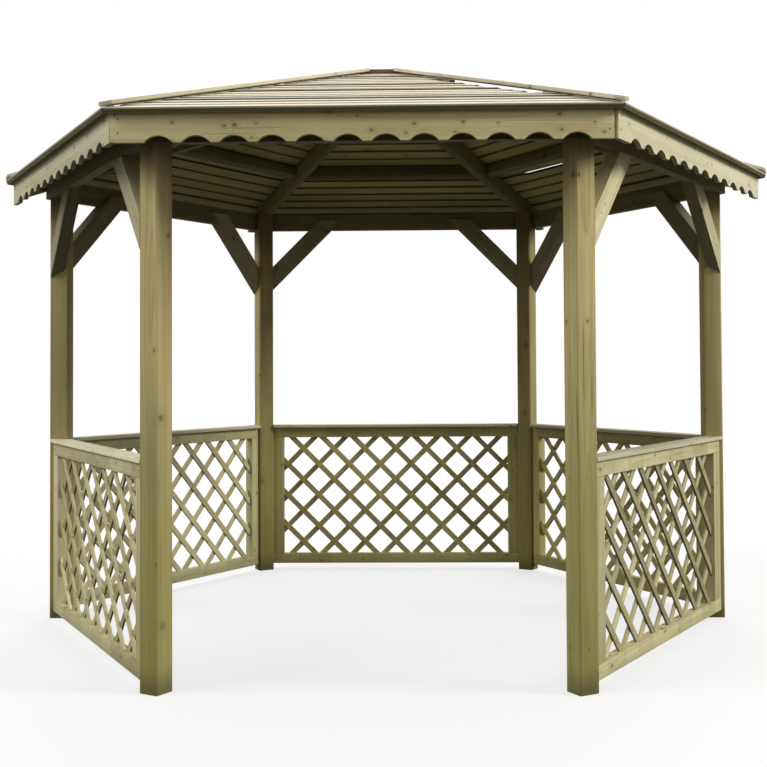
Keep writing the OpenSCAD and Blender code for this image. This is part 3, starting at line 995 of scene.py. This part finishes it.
# %% The rule for heads
heads, given = new_tree("fixing heads", ["Flatness", "Seed"])
dome = heads.node("GeometryNodeMeshUVSphere", (), {"Segments": 10, "Rings": 6, "Radius": 1.0})
dome = heads.node("GeometryNodeSetShadeSmooth", (), {"Geometry": dome})
facing = stored(heads, "facing", "FLOAT_VECTOR")
number = heads.node("GeometryNodeInputIndex")
size = stored(heads, "radius") * (chance(heads, number, given["Seed"], 0) * 0.2 + 0.9)
placed = heads.node("GeometryNodeInstanceOnPoints", (), {
    "Points": given["Geometry"], "Instance": dome,
    "Rotation": heads.node("FunctionNodeAlignRotationToVector", {"axis": "Z"}, {"Vector": facing}),
    "Scale": heads.vector(size, size, size * given["Flatness"])})
galvanised, m, surface = new_material("galvanised")
spread = m.node("ShaderNodeTexCoord", (), (), "Object")
blotch = noise(m, spread, (60.0, 60.0, 60.0), 2.0)
zinc, rust = (0.17, 0.155, 0.13, 1), (0.10, 0.075, 0.05, 1)
m.join(mix(m, blotch.ramp(0.45, 0.65), zinc, rust), surface.inputs["Base Color"])
m.join(blotch * 0.25 + 0.40, surface.inputs["Roughness"])
surface.inputs["Metallic"].default_value = 0.4
close_tree(heads, placed, galvanised)
cloud = bpy.data.meshes.new("head_places")
cloud.from_pydata([tuple(place) for place, _, _ in spots], [], [])
facings = cloud.attributes.new("facing", "FLOAT_VECTOR", "POINT")
facings.data.foreach_set("vector", [c for _, f, _ in spots for c in f])
radii = cloud.attributes.new("radius", "FLOAT", "POINT")
radii.data.foreach_set("value", [r for _, _, r in spots])
mesh = grow("fixing_heads", heads, {"Flatness": 0.3, "Seed": 5}, cloud)
hand_in(mesh.name, mesh, [])
print(len(mesh.polygons), "faces of nail and screw heads")

# %% [markdown]
# ## Floor, light and sky
# The object stands on a plain pale floor under a soft even light: a dome of sky, a broad sun to the right of
# the entrance, a weaker one to its left and a third behind, so that no side is left dark. The floor looks
# pale to the camera, but throws little light upward, as ground does, so that the roof's underside stays deep.


# %% Floor
def looked_at(m):
    """1 where the camera looks, straight or by a mirror or glass, and 0 for light on its way elsewhere."""
    path = m.node("ShaderNodeLightPath", (), (), "Is Camera Ray")
    seen = m.math("MAXIMUM", path, Value(m, path.socket.node.outputs["Is Glossy Ray"]))
    return m.math("MAXIMUM", seen, Value(m, path.socket.node.outputs["Is Transmission Ray"]))


FLOOR = 40.0  # half its width
floor_mesh = bpy.data.meshes.new("floor")
corners = [(-FLOOR, -FLOOR, 0), (FLOOR, -FLOOR, 0), (FLOOR, FLOOR, 0), (-FLOOR, FLOOR, 0)]
floor_mesh.from_pydata(corners, [], [(0, 1, 2, 3)])
floor = bpy.data.objects.new("floor", floor_mesh)
scene.collection.objects.link(floor)
ground, m, surface = new_material("pale_floor")
ground.node_tree.nodes.remove(surface)
dull = m.node("ShaderNodeBsdfDiffuse", (), {"Color": (0.065, 0.065, 0.045, 1)})
lit = m.node("ShaderNodeBsdfDiffuse", (), {"Color": (0.26, 0.26, 0.257, 1)})
glow = m.node("ShaderNodeEmission", (), {"Color": (1, 1, 1, 1), "Strength": 0.70})
pale = m.node("ShaderNodeAddShader", (), {0: lit, 1: glow})
both = m.node("ShaderNodeMixShader", (), {0: looked_at(m), 1: dull, 2: pale})
m.join(both, ground.node_tree.nodes["Material Output"].inputs["Surface"])
floor_mesh.materials.append(ground)
print("floor", 2 * FLOOR, "m wide")

# %% Sky and suns
SKY_LIGHT = 0.50  # the sky is white to the camera, and throws this much light
sky = bpy.data.worlds.new("soft_sky")
sky.use_nodes = True
m = Maker(sky.node_tree)
m.join(looked_at(m) * (1.0 - SKY_LIGHT) + SKY_LIGHT, sky.node_tree.nodes["Background"].inputs["Strength"])
sky.node_tree.nodes["Background"].inputs["Color"].default_value = (1, 1, 1, 1)
scene.world = sky


def sun(name, azimuth, elevation, strength, softness, colour):
    """A broad distant light, from an azimuth on the ground (0 is +X, -90 the entrance) and an elevation."""
    data = bpy.data.lights.new(name, "SUN")
    data.energy, data.angle, data.color = strength, math.radians(softness), colour
    light = bpy.data.objects.new(name, data)
    a, e = math.radians(azimuth), math.radians(elevation)
    towards = Vector((math.cos(a) * math.cos(e), math.sin(a) * math.cos(e), math.sin(e)))
    light.rotation_mode = "QUATERNION"
    light.rotation_quaternion = towards.to_track_quat("Z", "Y")
    scene.collection.objects.link(light)


sun("sun_right", -10, 25, 2.1, 20, (1.0, 0.985, 0.95))
sun("sun_left", -158, 36, 1.4, 35, (1.0, 1.0, 1.0))
sun("sun_back", 85, 55, 1.1, 40, (1.0, 1.0, 1.0))
print("sky and three suns")
